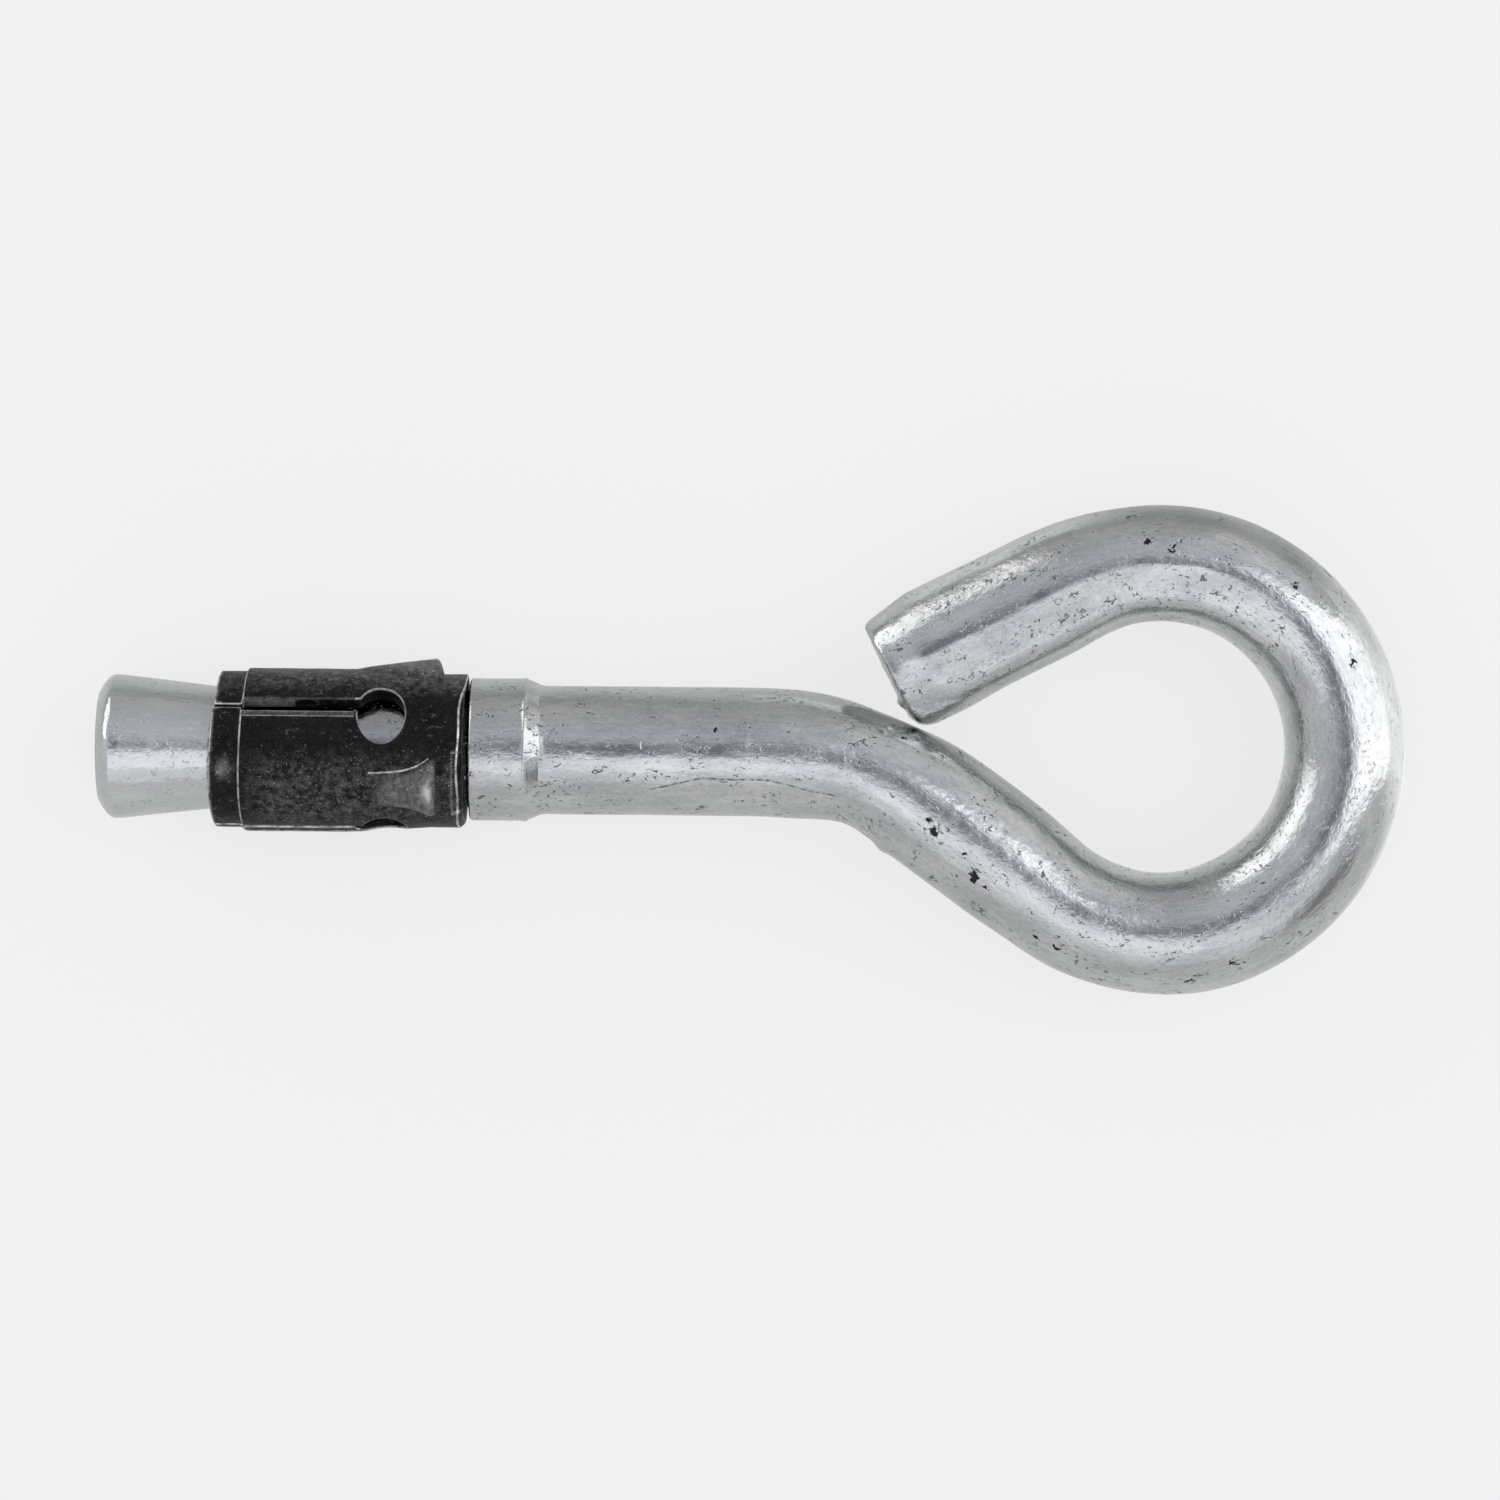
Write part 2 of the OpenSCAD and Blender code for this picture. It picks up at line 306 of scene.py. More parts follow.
def black_material():
    material, tree = new_material("black_sheet_finish")
    flat = attribute(tree, "sheet").outputs["Vector"]
    worn = attribute(tree, "wear").outputs["Fac"]
    scuff_and_sheen = attribute(tree, "scuff_and_sheen").outputs["Fac"]
    lines = parts_of(tree, attribute(tree, "lines").outputs["Vector"])
    step_line = worn_line(tree, less(tree, parts_of(tree, flat)["X"], STEP_TO), *STEP_LINE)
    rim_line = worn_line(tree, lines["X"], *RIM_LINE)
    bevel_line = worn_line(tree, lines["Y"], *BEVEL_LINE)
    rib_line = worn_line(tree, lines["Z"], *RIB_LINE)
    wear = most(tree, worn, step_line, rim_line, bevel_line, rib_line)
    clouds = noise_map(tree, flat, 1.1, 4.0, 0.6)
    olive = noise_map(tree, stretched(tree, flat, (1.0, 1.0, 1.0), (4.0, 8.0, 2.0)), 1.9, 4.0, 0.6)
    grain = noise_map(tree, flat, 9.0, 4.0, 0.7)
    specks = noise_map(tree, stretched(tree, flat, (1.0, 1.0, 1.0), (2.0, 5.0, 9.0)), 11.0, 3.0, 0.65)
    patchy = noise_map(tree, stretched(tree, flat, (1.0, 1.0, 1.0), (9.0, 3.0, 7.0)), 3.2, 6.0, 0.72)
    brushed = noise_map(tree, stretched(tree, flat, (7.0, 1.4, 1.0)), 1.0, 4.0, 0.6)
    chips = noise_map(tree, flat, 2.6, 3.0, 0.6)

    black = mixed(tree, ranged(tree, clouds, 0.35, 0.7), SHEET_DARK, SHEET_LIGHT)
    brown_share = times(tree, ranged(tree, olive, 0.46, 0.66), ranged(tree, scuff_and_sheen, 0.1, 0.6, 0.05, 0.8))
    brown = mixed(tree, brown_share, black, SHEET_BROWN)
    # Grey rubbed patches, and on the upper faces toward the back a painted sheen
    rubbed_and_sheen = times(tree, scuff_and_sheen, ranged(tree, patchy, 0.44, 0.70, 0.0, 0.85))
    polished = times(tree, ranged(tree, scuff_and_sheen, 0.8, 1.6), ranged(tree, brushed, 0.30, 0.70, 0.25, 0.85))
    speck = times(tree, ranged(tree, specks, 0.635, 0.685), ranged(tree, scuff_and_sheen, 0.0, 0.6, 0.1, 1.0))
    curls = times(tree, scratches(tree, flat), 0.35)
    grey = mixed(tree, most(tree, rubbed_and_sheen, polished, speck, curls), brown, SHEET_GREY)
    bare = times(tree, wear, ranged(tree, chips, 0.36, 0.56, 0.30, 1.0))
    bare = most(tree, bare, times(tree, speck, 0.4))
    colour = mixed(tree, bare, grey, BARE_STEEL)
    dull = less(tree, ranged(tree, clouds, 0.3, 0.7, 0.44, 0.34), times(tree, bare, 0.1))

    soft = bumped(tree, clouds, 0.04, 0.5)
    grained = bumped(tree, grain, 0.025, 0.7, soft)
    shader = add_node(tree, "ShaderNodeBsdfPrincipled", {"Base Color": colour, "Metallic": bare,
                                                         "Roughness": dull, "Normal": grained,
                                                         "Specular IOR Level": SHEET_SPECULAR})
    add_node(tree, "ShaderNodeOutputMaterial", {"Surface": shader.outputs[0]})
    return material


def mesh_piece(name, points, faces, material, floats=None, vectors=None):
    """A smooth mesh object from points in millimetres, with named attributes on its points."""
    mesh = bpy.data.meshes.new(name)
    mesh.from_pydata((np.asarray(points) * MM).tolist(), [], faces)
    mesh.polygons.foreach_set("use_smooth", [True] * len(mesh.polygons))
    for key, values in (floats or {}).items():
        mesh.attributes.new(key, "FLOAT", "POINT").data.foreach_set("value", np.ravel(values))
    for key, values in (vectors or {}).items():
        mesh.attributes.new(key, "FLOAT_VECTOR", "POINT").data.foreach_set("vector", np.ravel(values))
    mesh.materials.append(material)
    mesh.validate()
    made = bpy.data.objects.new(name, mesh)
    scene.collection.objects.link(made)
    return made


# Eye bolt: the turned front, then the rod along its bent path
TIP_FRONT = -0.68
FACE_BULGE = 0.03
TIP_R = 2.97
FACE_R = 2.37
SHOULDER_X = -0.05
LAND_END = 0.2
NECK_X = 5.3
NECK_R = 2.395
COLLAR_X = 14.6
COLLAR_R = 2.95
COLLAR_EDGE = 0.13
SLOPE_X = 16.9
FOOT_X = 17.5
# Ridge where the collar's slope starts: its height and length
RIDGE = 0.035
RIDGE_LEN = 0.07
SHANK_X = 17.8
SHANK_R = 2.655
BEND_X = 26.14
# Length and turn of each stretch after the straight shank, turns to the left counting up
STRETCHES = [
    (22.5 * math.radians(7.0), -math.radians(7.0)),
    (9.7 * math.radians(29.9), -math.radians(29.9)),
    (6.27, 0.0),
    (7.632 * math.radians(220.8), math.radians(220.8)),
    (9.08 * math.radians(22.6), math.radians(22.6)),
    (8.16, 0.0),
]
END_S = BEND_X + sum(length for length, turn in STRETCHES)
# Half width of the rod in the plane of the eye, where bending has drawn it thinner or left it thick
HALF_WIDTHS = [(SHANK_X, 2.655), (28.2, 2.665), (30.8, 2.49), (33.5, 2.685), (38.2, 2.67), (40.3, 2.52),
               (44.0, 2.505), (47.5, 2.57), (55.0, 2.51), (61.0, 2.46), (65.0, 2.41), (70.6, 2.405),
               (74.0, 2.64), (END_S, 2.655)]
WIDTH_SAMPLES = 1200
WIDTH_EASE = 29
# Half height of the bent rod, and the share of its thinning that shows there too
TALL_R = 2.645
TALL_SHARE = 0.35
# How far bending left the rod to the left of its path
SIDE_SHIFTS = [(33.5, 0.0), (36.5, 0.06), (39.0, 0.05), (43.0, 0.03), (46.5, -0.06), (50.0, -0.02),
               (55.0, -0.03), (61.0, -0.04), (66.0, -0.06), (71.0, -0.03), (75.0, 0.0)]
# Flat that the bending tool left on the inner side of the eye: its edges and its slope, as turns from the top
FLAT_FROM = math.radians(4.0)
FLAT_TO = math.radians(32.0)
FLAT_TURN = math.radians(13.0)
# Stretches along the rod in which that flat starts, and in which it ends before the sheared face
FLAT_STARTS = (61.0, 67.0)
FLAT_ENDS = (END_S - 2.2, END_S - 0.9)
# Sheared end: tilt of its face, rolls of its outer and inner edge, swelling and flattening before it
END_TILT = math.radians(0.8)
TILT_LEN = 2.5
ROLL_LEN = 2.03
ROLL_DEPTH = 0.43
BRINK_LEN = 0.3
BRINK_DEPTH = 0.07
UNDER_LEN = 1.0
UNDER_ROLL = 0.68
SWELL = 0.12
SWELL_FROM = 4.6
SWELL_TO = 2.0
TOP_FLAT = 0.12
TOP_FLAT_LEN = 1.6
# Shares of the rod's size for the rings that close its end, and the depth of what is torn there
FACE_SHARES = (0.985, 0.95, 0.88, 0.78, 0.66, 0.52, 0.38, 0.24, 0.1)
TORN_DEPTH = 0.05
TORN_BULGE = 0.05
# Burr on that face: its height, and its place and size across and up the rod
BURR = 0.22
BURR_PLACE = (1.35, 0.9)
BURR_SIZE = (0.24, 0.35)
# Tool marks in the first bend: place along the rod, length and depth
CORNER = (33.45, 0.45, 0.09)
HOLLOW = (31.2, 1.6, 0.08)
NIP = (32.2, 1.7, 0.15)
WAVE_SHARE = 0.0045
ROUND_POINTS = 112
RING_STEP = 0.16


def flattened(turn):
    """Share of the round radius at turns from the top toward the inner side, where the bend is flat."""
    reach = math.cos(FLAT_TURN - FLAT_FROM)
    level = reach / np.cos(np.clip(turn, FLAT_FROM, FLAT_TO) - FLAT_TURN)
    end = reach / math.cos(FLAT_TO - FLAT_TURN)
    slope = end * math.tan(FLAT_TO - FLAT_TURN)
    width = math.pi / 2 - FLAT_TO
    t = np.clip((turn - FLAT_TO) / width, 0.0, 1.0)
    rounding = end * (1.0 + 2.0 * t) * (1.0 - t) ** 2
    rounding = rounding + slope * width * t * (1.0 - t) ** 2 + t ** 2 * (3.0 - 2.0 * t)
    return np.where(turn < FLAT_FROM, 1.0, np.where(turn < FLAT_TO, level, rounding))


def axis_at(s):
    """Point and heading of the rod's axis at the distances s along it."""
    x = np.minimum(s, BEND_X)
    y = np.zeros_like(s)
    heading = np.zeros_like(s)
    start = BEND_X
    for length, turn in STRETCHES:
        run = np.clip(s - start, 0.0, length)
        bend = turn * run / length
        if turn:
            radius = length / turn
            x = x + radius * (np.sin(heading + bend) - np.sin(heading))
            y = y - radius * (np.cos(heading + bend) - np.cos(heading))
        else:
            x = x + run * np.cos(heading)
            y = y + run * np.sin(heading)
        heading = heading + bend
        start += length
    return x, y, heading


def front_profile():
    """Stations and radii of the turned front, from the middle of the tip to the shank."""
    face = TIP_FRONT - FACE_BULGE
    profile = [(face, r) for r in np.linspace(0.05, FACE_R - 0.12, 9)]
    profile += [(face, FACE_R - 0.05), (TIP_FRONT - FACE_BULGE / 2, FACE_R - 0.012)]
    for t in np.linspace(0.03, 1.0, 16):
        shoulder = (TIP_R - FACE_R) * (1 - (1 - t) ** 2.0)
        profile.append((TIP_FRONT + t * (SHOULDER_X - TIP_FRONT), FACE_R + shoulder))
    profile += [(x, TIP_R) for x in np.linspace(SHOULDER_X + 0.05, LAND_END - 0.05, 4)]
    for t in np.linspace(0.0, 1.0, 34):
        profile.append((LAND_END + t * (NECK_X - LAND_END), TIP_R + t * (NECK_R - TIP_R)))
    profile += [(x, NECK_R) for x in np.linspace(NECK_X + 0.2, COLLAR_X - 0.1, 40)]
    profile += [(COLLAR_X, r) for r in np.linspace(NECK_R + 0.06, COLLAR_R - 0.14, 4)]
    for a in np.linspace(0.0, math.pi / 2, 6):
        back = COLLAR_EDGE * (1 - math.cos(a))
        down = COLLAR_EDGE * (1 - math.sin(a))
        profile.append((COLLAR_X + back, COLLAR_R - down))
    profile += [(x, COLLAR_R) for x in np.linspace(COLLAR_X + 0.25, SLOPE_X - 0.2, 14)]
    for x in np.linspace(SLOPE_X - 0.1, SHANK_X + 0.2, 40):
        steep = np.clip((x - SLOPE_X) / (FOOT_X - SLOPE_X), 0.0, 1.0)
        foot = smooth(x, FOOT_X - 0.1, SHANK_X)
        ridge = RIDGE * math.exp(-((x - SLOPE_X) / RIDGE_LEN) ** 2)
        profile.append((x, COLLAR_R + (SHANK_R - COLLAR_R) * float(0.86 * steep + 0.14 * foot) + ridge))
    return profile


def half_widths(s):
    """Half width of the rod at the distances s along its shank and bends, eased between what is known."""
    known_s, known_w = zip(*HALF_WIDTHS)
    fine_s = np.linspace(SHANK_X, END_S, WIDTH_SAMPLES)
    fine_w = np.interp(fine_s, known_s, known_w)
    window = np.hanning(WIDTH_EASE) / np.hanning(WIDTH_EASE).sum()
    fine_w = np.convolve(np.pad(fine_w, WIDTH_EASE // 2, mode="edge"), window, mode="valid")
    return np.interp(s, fine_s, fine_w)


def tool_mark(s, mark, share):
    """Depth of a mark along the rod, times its share round the rod."""
    station, length, depth = mark
    return depth * (np.exp(-((s - station) / length) ** 2)[:, None] * share)


def sheared_face(ring, flow, ahead):
    """Rings that close on the middle of the rod's end, with torn ripples and a burr at the inner side."""
    middle = ring.mean(axis=0)
    middle_flow = flow.mean(axis=0)
    rings, flows = [], []
    for share in FACE_SHARES:
        at = middle + (ring - middle) * share
        at_flow = middle_flow + (flow - middle_flow) * share
        torn = TORN_DEPTH * ripple(at_flow[:, 1:].repeat(2, axis=1)[:, :3] * 1.5, 4.0)
        push = TORN_BULGE * smooth(np.array([1.0 - share]), 0.0, 0.06) + torn
        aside = (at_flow[:, 1] - BURR_PLACE[0]) / BURR_SIZE[0]
        above = (at_flow[:, 2] - BURR_PLACE[1]) / BURR_SIZE[1]
        burr = BURR * np.exp(-aside ** 2 - above ** 2)
        rings.append(at + (push + burr)[:, None] * ahead)
        flows.append(at_flow + np.array([0.4 + 1.0 - share, 0.0, 0.0]))
    return np.array(rings), np.array(flows)


def ring_faces(rings):
    """Faces of a tube of rings, each end closed by a fan round one more point."""
    faces = []
    for i in range(rings - 1):
        near, far = i * ROUND_POINTS, (i + 1) * ROUND_POINTS
        for j in range(ROUND_POINTS):
            k = (j + 1) % ROUND_POINTS
            faces.append((near + j, near + k, far + k, far + j))
    last = (rings - 1) * ROUND_POINTS
    front_point = rings * ROUND_POINTS
    end_point = front_point + 1
    for j in range(ROUND_POINTS):
        k = (j + 1) % ROUND_POINTS
        faces.append((front_point, k, j))
        faces.append((end_point, last + j, last + k))
    return faces


def build_bolt():
    profile = front_profile()
    steps = int((END_S - SHANK_X - 0.3) / RING_STEP)
    s = np.array([p[0] for p in profile] + list(np.linspace(SHANK_X + 0.35, END_S, steps)))
    half = half_widths(s)
    half[:len(profile)] = [p[1] for p in profile]
    tall = np.where(s > BEND_X, TALL_R - TALL_SHARE * (SHANK_R - half), half)

    # Rings: side is the share of the half width toward the left of the path, up the share of the height
    a = np.linspace(0.0, 2.0 * math.pi, ROUND_POINTS, endpoint=False)
    side, up = np.cos(a), np.sin(a)
    outer = np.clip(-side, 0.0, 1.0)[None, :]
    inner = np.clip(side, 0.0, 1.0)[None, :]
    flat = smooth(s, *FLAT_STARTS) * (1.0 - smooth(s, *FLAT_ENDS))
    pressed = 1.0 + flat[:, None] * (flattened(math.pi / 2 - a) - 1.0)[None, :]
    across = half[:, None] * side[None, :] * pressed
    rise = tall[:, None] * up[None, :] * pressed
    shift_s, shift_y = zip(*SIDE_SHIFTS)
    across = across + np.interp(s, shift_s, shift_y)[:, None]

    # Roll of the sheared end on its outer side, a shorter one on its inner side
    to_end = (END_S - s)[:, None]
    chamfer = np.clip(1.0 - to_end / ROLL_LEN, 0.0, 1.0)
    brink = np.clip(1.0 - to_end / BRINK_LEN, 0.0, 1.0)
    across = across + (ROLL_DEPTH * chamfer + BRINK_DEPTH * brink ** 2) * outer ** 1.5
    swollen = SWELL * smooth(-to_end, -SWELL_FROM, -SWELL_TO)
    lip = np.clip(1.0 - to_end / UNDER_LEN, 0.0, 0.995)
    across = across + (swollen - UNDER_ROLL * (1.0 - np.sqrt(1.0 - lip ** 2))) * inner ** 2
    flat_top = smooth(-to_end, -TOP_FLAT_LEN, 0.0) * TOP_FLAT
    rise = rise * (1.0 - flat_top * np.abs(up)[None, :])

    # Tool marks in the first bend: a hollow and the corner after it on one side, a nip on the other
    across = across - tool_mark(s, CORNER, outer ** 4)
    across = across + tool_mark(s, HOLLOW, outer ** 3)
    across = across - tool_mark(s, NIP, inner ** 2)

    # Slow waves of the drawn surface
    wave_at = [np.repeat(s, ROUND_POINTS) * 0.35, np.tile(side, len(s)) * 1.6, np.tile(up, len(s)) * 1.6]
    waves = ripple(np.stack(wave_at, axis=1), 1.0).reshape(across.shape)
    swell = 1.0 + WAVE_SHARE * waves * smooth(s, 0.3, 1.5)[:, None]
    across, rise = across * swell, rise * swell

    tilt = smooth(s, END_S - TILT_LEN, END_S)[:, None] * math.tan(END_TILT)
    along = np.repeat(s[:, None], ROUND_POINTS, axis=1)
    x, y, heading = axis_at(along - tilt * across)
    points = np.stack([x - across * np.sin(heading), y + across * np.cos(heading), rise], axis=2)
    flow = np.stack([along, across, rise], axis=2)
    ahead = np.array([math.cos(heading[-1, 0]), math.sin(heading[-1, 0]), 0.0])
    caps, cap_flows = sheared_face(points[-1], flow[-1], ahead)
    points = np.concatenate([points, caps])
    flow = np.concatenate([flow, cap_flows])

    verts = np.concatenate([points.reshape(-1, 3), [points[0].mean(axis=0)], [points[-1].mean(axis=0)]])
    flows = np.concatenate([flow.reshape(-1, 3), [flow[0].mean(axis=0)], [flow[-1].mean(axis=0)]])
    on_score = (flows[:, 0] > SCORE_S[0]) & (flows[:, 0] < SCORE_S[-1]) & (flows[:, 2] > 0.0)
    scored = np.where(on_score, flows[:, 1] - np.interp(flows[:, 0], SCORE_S, SCORE_Y), FAR)
    return mesh_piece("eye_bolt_body", verts, ring_faces(len(points)), zinc_material(),
                      floats={"scored": scored}, vectors={"straight": flows})


# Clip: its sheet is laid out flat, along u from the lip and w round the anchor, then rolled up
CLIP_X = 4.2
CLIP_DROP = 0.07
CLIP_LEN = 10.2
CLIP_R = 3.355
SHEET_T = 0.6
LIP_LEN = 1.16
LIP_STEP = 0.125
# Where the step behind the lip starts and ends
STEP_FROM = LIP_LEN - 0.06
STEP_TO = LIP_LEN + 0.02
TAPER = (6.25, 8.8)
FLARE = 0.18
FIRST_SLOT = math.radians(34.2)
PITCH = math.radians(120.0)
# Turn of the lower slot from the first, a little less than the pitch
LOWER_SLOT = math.radians(-108.0)
# Edges of a slot below and above its middle line, up to each distance from the lip
SLOT_HALF = 0.27
SLOT_LOWER = [(LIP_LEN, -0.11), (9.0, -SLOT_HALF)]
SLOT_UPPER = [(LIP_LEN, 0.03), (9.0, SLOT_HALF)]
# How far from the lip the upper side of a slot is sheared bare
SHEARED_TO = 3.3
# Oval hole at a slot's end: its middle and its half sizes along u and w
HOLE_U, HOLE_W = 6.86, -0.39
HOLE_A, HOLE_B = 0.97, 1.31
HOLE_POINTS = 60
SEAM_HALF = 0.2
BUMP_START, BUMP_TOP, BUMP_END = 5.7, 8.86, 9.14
BUMP_RISE = 0.64
BUMP_HALF = math.radians(25.0)
BUMP_TURN = math.radians(-3.9)
# Bevel along the edge of a petal below a slot
STRIP_W = 0.30
STRIP_DEPTH = 0.10
STRIP_END = HOLE_U - HOLE_A - 0.1
SPRING_OUT = 0.04
# The band's edge: slope and depth of its roll, how much earlier it starts in front, and the turns between
RIM_SLOPE = 0.9
RIM_DEPTH = 0.34
RIM_EARLY = 0.22
RIM_TURNS = (24.0, 64.0)
# Step pressed into that edge: its depth, where it starts along u, and the turns in which it starts and ends
BAND_STEP = 0.20
BAND_STEP_U = (CLIP_LEN - 0.47, CLIP_LEN - 0.42)
BAND_STEP_FROM = (-57.0, -55.0)
BAND_STEP_TO = (-2.0, 0.0)
# How uneven the lip and the band's edge are
LIP_UNEVEN = 0.20
RIM_UNEVEN = 0.11
CUT_WAVE = 0.03
ROUGHNESS = 0.010
# Wear: how bare the bumps' tops and a sheared slot side are, and how scuffed each place is; the bumps' bare
# tops are partly a painted highlight, and toward the back the scuff is a painted sheen
# Bumps' tops: worn bare, the patch shifted up where the light catches it, partly a painted highlight
TOP_BARE_AND_HIGHLIGHT = 0.75
SHEARED_BARE = 0.30
SHEARED_SCUFF = 0.95
BASE_SCUFF = 0.06
FRONT_SCUFF = 0.68
# Painted sheen toward the back, where the upper faces catch the light, added to the scuff
PAINTED_BACK_SHEEN = 0.38
BUMP_SCUFF = 1.5
STRIP_SCUFF = 1.15
# Knock on the lip: its strength, and its place and size along u and w
KNOCK = 2.4
KNOCK_PLACE = (0.6, -2.85)
KNOCK_SIZE = (0.3, 0.4)
# Mesh: steps along the outline and over the sheet, rows inside the outline and through the thickness
EDGE_STEP = 0.045
EDGE_ROUND = 0.05
EDGE_ROWS = (0.016, 0.04, 0.075)
SHEET_STEP = 0.088
SHEET_GAP = 0.11
WALL_SHARES = (0.12, 0.45, 0.85)
SHARP_ANGLE = math.radians(48.0)


def slot_edge(table, u_to, w0, back=False):
    """Corner points along one side of a slot, from the lip to u_to."""
    corners = []
    start = 0.0
    for end, w in table:
        end = min(end, u_to)
        corners += [(start, w0 + w), (end, w0 + w)]
        start = end
        if end >= u_to:
            break
    return corners[::-1] if back else corners


def hole_turn(w):
    """Angle on the hole's ellipse at the height w over the slot's middle line, on its near side."""
    return math.pi - math.asin((w - HOLE_W) / HOLE_B)


def hole_arc(w0, start, end):
    turns = np.linspace(start, end, HOLE_POINTS)
    return [(HOLE_U + HOLE_A * math.cos(t), w0 + HOLE_W + HOLE_B * math.sin(t)) for t in turns]


def sheet_outline():
    """The flat sheet's outline: lip edge with its slots and holes, seam, band edge and seam again."""
    low, high = hole_turn(SLOT_LOWER[-1][1]), hole_turn(SLOT_UPPER[-1][1])
    low_u = HOLE_U + HOLE_A * math.cos(low)
    high_u = HOLE_U + HOLE_A * math.cos(high)
    outline = []
    for w0 in (LOWER_SLOT * CLIP_R, 0.0):
        outline += slot_edge(SLOT_LOWER, low_u, w0)
        outline += hole_arc(w0, low, high + 2.0 * math.pi)
        outline += slot_edge(SLOT_UPPER, high_u, w0, back=True)
    top = PITCH * CLIP_R
    bottom = -2.0 * PITCH * CLIP_R
    outline += slot_edge(SLOT_LOWER, low_u, top)
    outline += hole_arc(top, low, 2.0 * math.pi + math.asin((-SEAM_HALF - HOLE_W) / HOLE_B))
    outline += [(CLIP_LEN, top - SEAM_HALF), (CLIP_LEN, bottom + SEAM_HALF)]
    outline += hole_arc(bottom, math.asin((SEAM_HALF - HOLE_W) / HOLE_B), high)
    outline += slot_edge(SLOT_UPPER, high_u, bottom, back=True)
    return np.array(outline)[::-1]


def evenly(loop, step):
    """The closed loop resampled at about that step, with its corners a little eased."""
    closed = np.concatenate([loop, loop[:1]])
    lengths = np.concatenate([[0.0], np.cumsum(np.linalg.norm(np.diff(closed, axis=0), axis=1))])
    count = int(lengths[-1] / step)
    at = np.linspace(0.0, lengths[-1], count, endpoint=False)
    points = np.stack([np.interp(at, lengths, closed[:, k]) for k in (0, 1)], axis=1)
    return (np.roll(points, 1, axis=0) + 2.0 * points + np.roll(points, -1, axis=0)) / 4.0


def round_angle(w):
    """Angle from Z toward Y of a point on the sheet."""
    return FIRST_SLOT + w / CLIP_R


def below_slot(w):
    """Distance round the sheet from a point up to the next slot."""
    slots = np.array([LOWER_SLOT, 0.0, PITCH]) * CLIP_R
    return slots[np.searchsorted(slots, w).clip(0, 2)] - w


def from_petal(w):
    """Angle from the middle of the petal that a point is on, and the number of that petal."""
    turns = (w / CLIP_R) / PITCH
    petal = np.floor(turns)
    return (turns - petal - 0.5) * PITCH, petal


def waver(u, w):
    """Small shifts along u that make the lip and the band's edge uneven, as they are cut and rolled."""
    angle, petal = from_petal(w)
    degrees = np.degrees(round_angle(w))
    lip = LIP_UNEVEN * (petal == 0) * np.sin(angle + 0.9) - LIP_UNEVEN * (petal == -1) * np.cos(angle)
    lip = lip + CUT_WAVE * np.sin(3.1 * np.radians(degrees) + 0.4)
    rim = CUT_WAVE * np.sin(2.3 * np.radians(degrees)) + RIM_UNEVEN * smooth(degrees, 40.0, 80.0)
    return lip * (1.0 - smooth(u, 0.4, 2.4)) + rim * smooth(u, 7.6, 9.0)


def rim_edge(degrees):
    """Distance from the lip at which the band starts to roll in, round the clip."""
    rim = CLIP_LEN - RIM_EARLY + RIM_EARLY * smooth(degrees, *RIM_TURNS)
    return rim + CUT_WAVE * np.sin(degrees * 0.11)


def band_step(u, degrees):
    """1 on the step that is pressed into the edge of the band."""
    round_part = smooth(degrees, *BAND_STEP_FROM) * (1.0 - smooth(degrees, *BAND_STEP_TO))
    return smooth(u, *BAND_STEP_U) * round_part


def bump_grow(u):
    """0 at the point of a bump and 1 at its top."""
    return (u - BUMP_START) / (BUMP_TOP - BUMP_START)


def bump_width(grow):
    """Half angle of a bump, flaring at its steep end."""
    return BUMP_HALF * (0.55 + 0.05 * grow + 0.40 * grow ** 5)


def bump_height(u, w):
    """Height of the pressed bumps: a rounded cone from its point to its steep end, on each petal."""
    angle = from_petal(w)[0]
    grow = np.clip(bump_grow(u), 0.0, 1.0)
    share = np.clip(1.0 - ((angle - BUMP_TURN) / bump_width(grow)) ** 2, 0.0, 1.0)
    past = np.clip((u - BUMP_TOP) / (BUMP_END - BUMP_TOP), 0.0, 1.0)
    return BUMP_RISE * grow * share ** 0.6 * np.sqrt(1.0 - past ** 2)


def lip_share(u):
    """1 on the lip and 0 behind its step."""
    return 1.0 - smooth(u, STEP_FROM, STEP_TO)


def sheet_radius(u, w, edge):
    """Outer radius of the rolled sheet."""
    degrees = np.degrees(round_angle(w))
    r = np.full_like(u, CLIP_R)
    r -= LIP_STEP * lip_share(u)
    r -= FLARE * np.clip((u - TAPER[0]) / (TAPER[1] - TAPER[0]), 0.0, 1.0)
    r += bump_height(u, w)
    # The edge of each petal below a slot is pressed to a bevel
    to_slot = below_slot(w)
    strip = smooth(u, LIP_LEN, LIP_LEN + 0.05)
    strip = strip * (1.0 - smooth(u, HOLE_U - HOLE_A - 0.2, HOLE_U - HOLE_A - 0.12))
    r -= STRIP_DEPTH * strip * (1.0 - smooth(to_slot, SLOT_HALF + STRIP_W * 0.75, SLOT_HALF + STRIP_W))
    # The petal behind springs out a little at the lower slot
    spring = smooth(w / CLIP_R, -PITCH * 1.5, LOWER_SLOT) * (w < LOWER_SLOT * CLIP_R)
    r += SPRING_OUT * spring * (1.0 - smooth(u, 4.8, 6.6)) * smooth(u, 0.9, 1.3)
    # The band's edge is rolled in, and a step is pressed into it
    r -= np.minimum(RIM_SLOPE * np.clip(u - rim_edge(degrees), 0.0, None), RIM_DEPTH)
    r -= BAND_STEP * band_step(u, degrees)
    t = np.clip(1.0 - edge / EDGE_ROUND, 0.0, 1.0)
    return r - EDGE_ROUND * (1.0 - np.sqrt(np.clip(1.0 - t * t, 0.0, 1.0)))


def rolled(u, w, r):
    """Points of the flat sheet rolled up round the neck."""
    a = round_angle(w)
    return np.stack([CLIP_X + u + waver(u, w), r * np.sin(a) - CLIP_DROP, r * np.cos(a)], axis=1)


